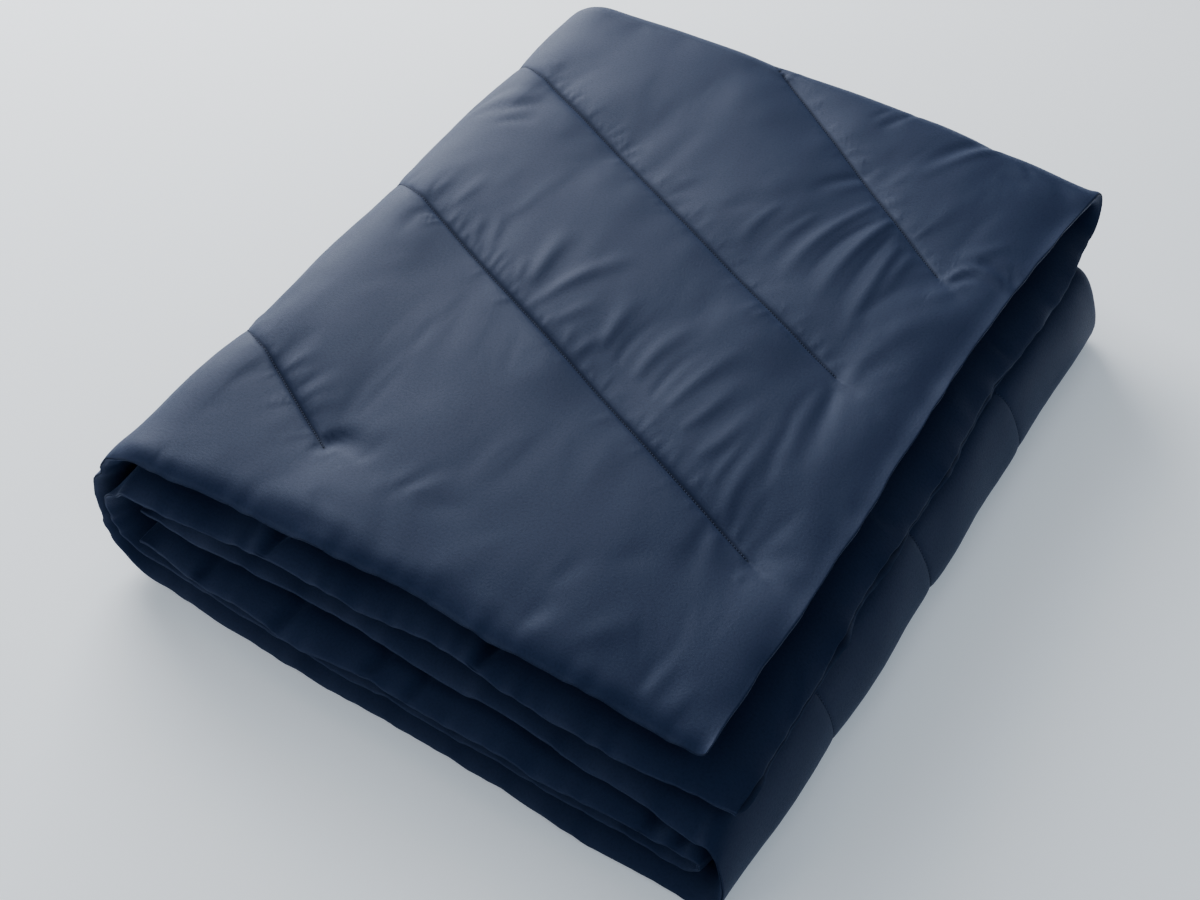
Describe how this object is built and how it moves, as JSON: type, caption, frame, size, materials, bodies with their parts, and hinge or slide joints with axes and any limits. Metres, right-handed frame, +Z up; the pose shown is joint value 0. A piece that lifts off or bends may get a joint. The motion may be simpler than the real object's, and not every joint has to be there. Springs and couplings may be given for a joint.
{
  "type": "folded outdoor blanket",
  "caption": "Quilted outdoor blanket folded into a flat soft bundle, with rounded folds, turned hems and diagonal quilting seams.",
  "frame": {"origin": "bottom centre of the folded blanket's bounding box, on the floor", "axes": "+X from the left fold to the right fold, +Y from the front hems to the half fold at the back, +Z up"},
  "size_m": [0.5716, 0.7058, 0.1315],
  "materials": {
    "fabric": "semi-matt navy woven synthetic"
  },
  "bodies": {
    "root": {"blanket": "fabric"}
  },
  "joints": []
}
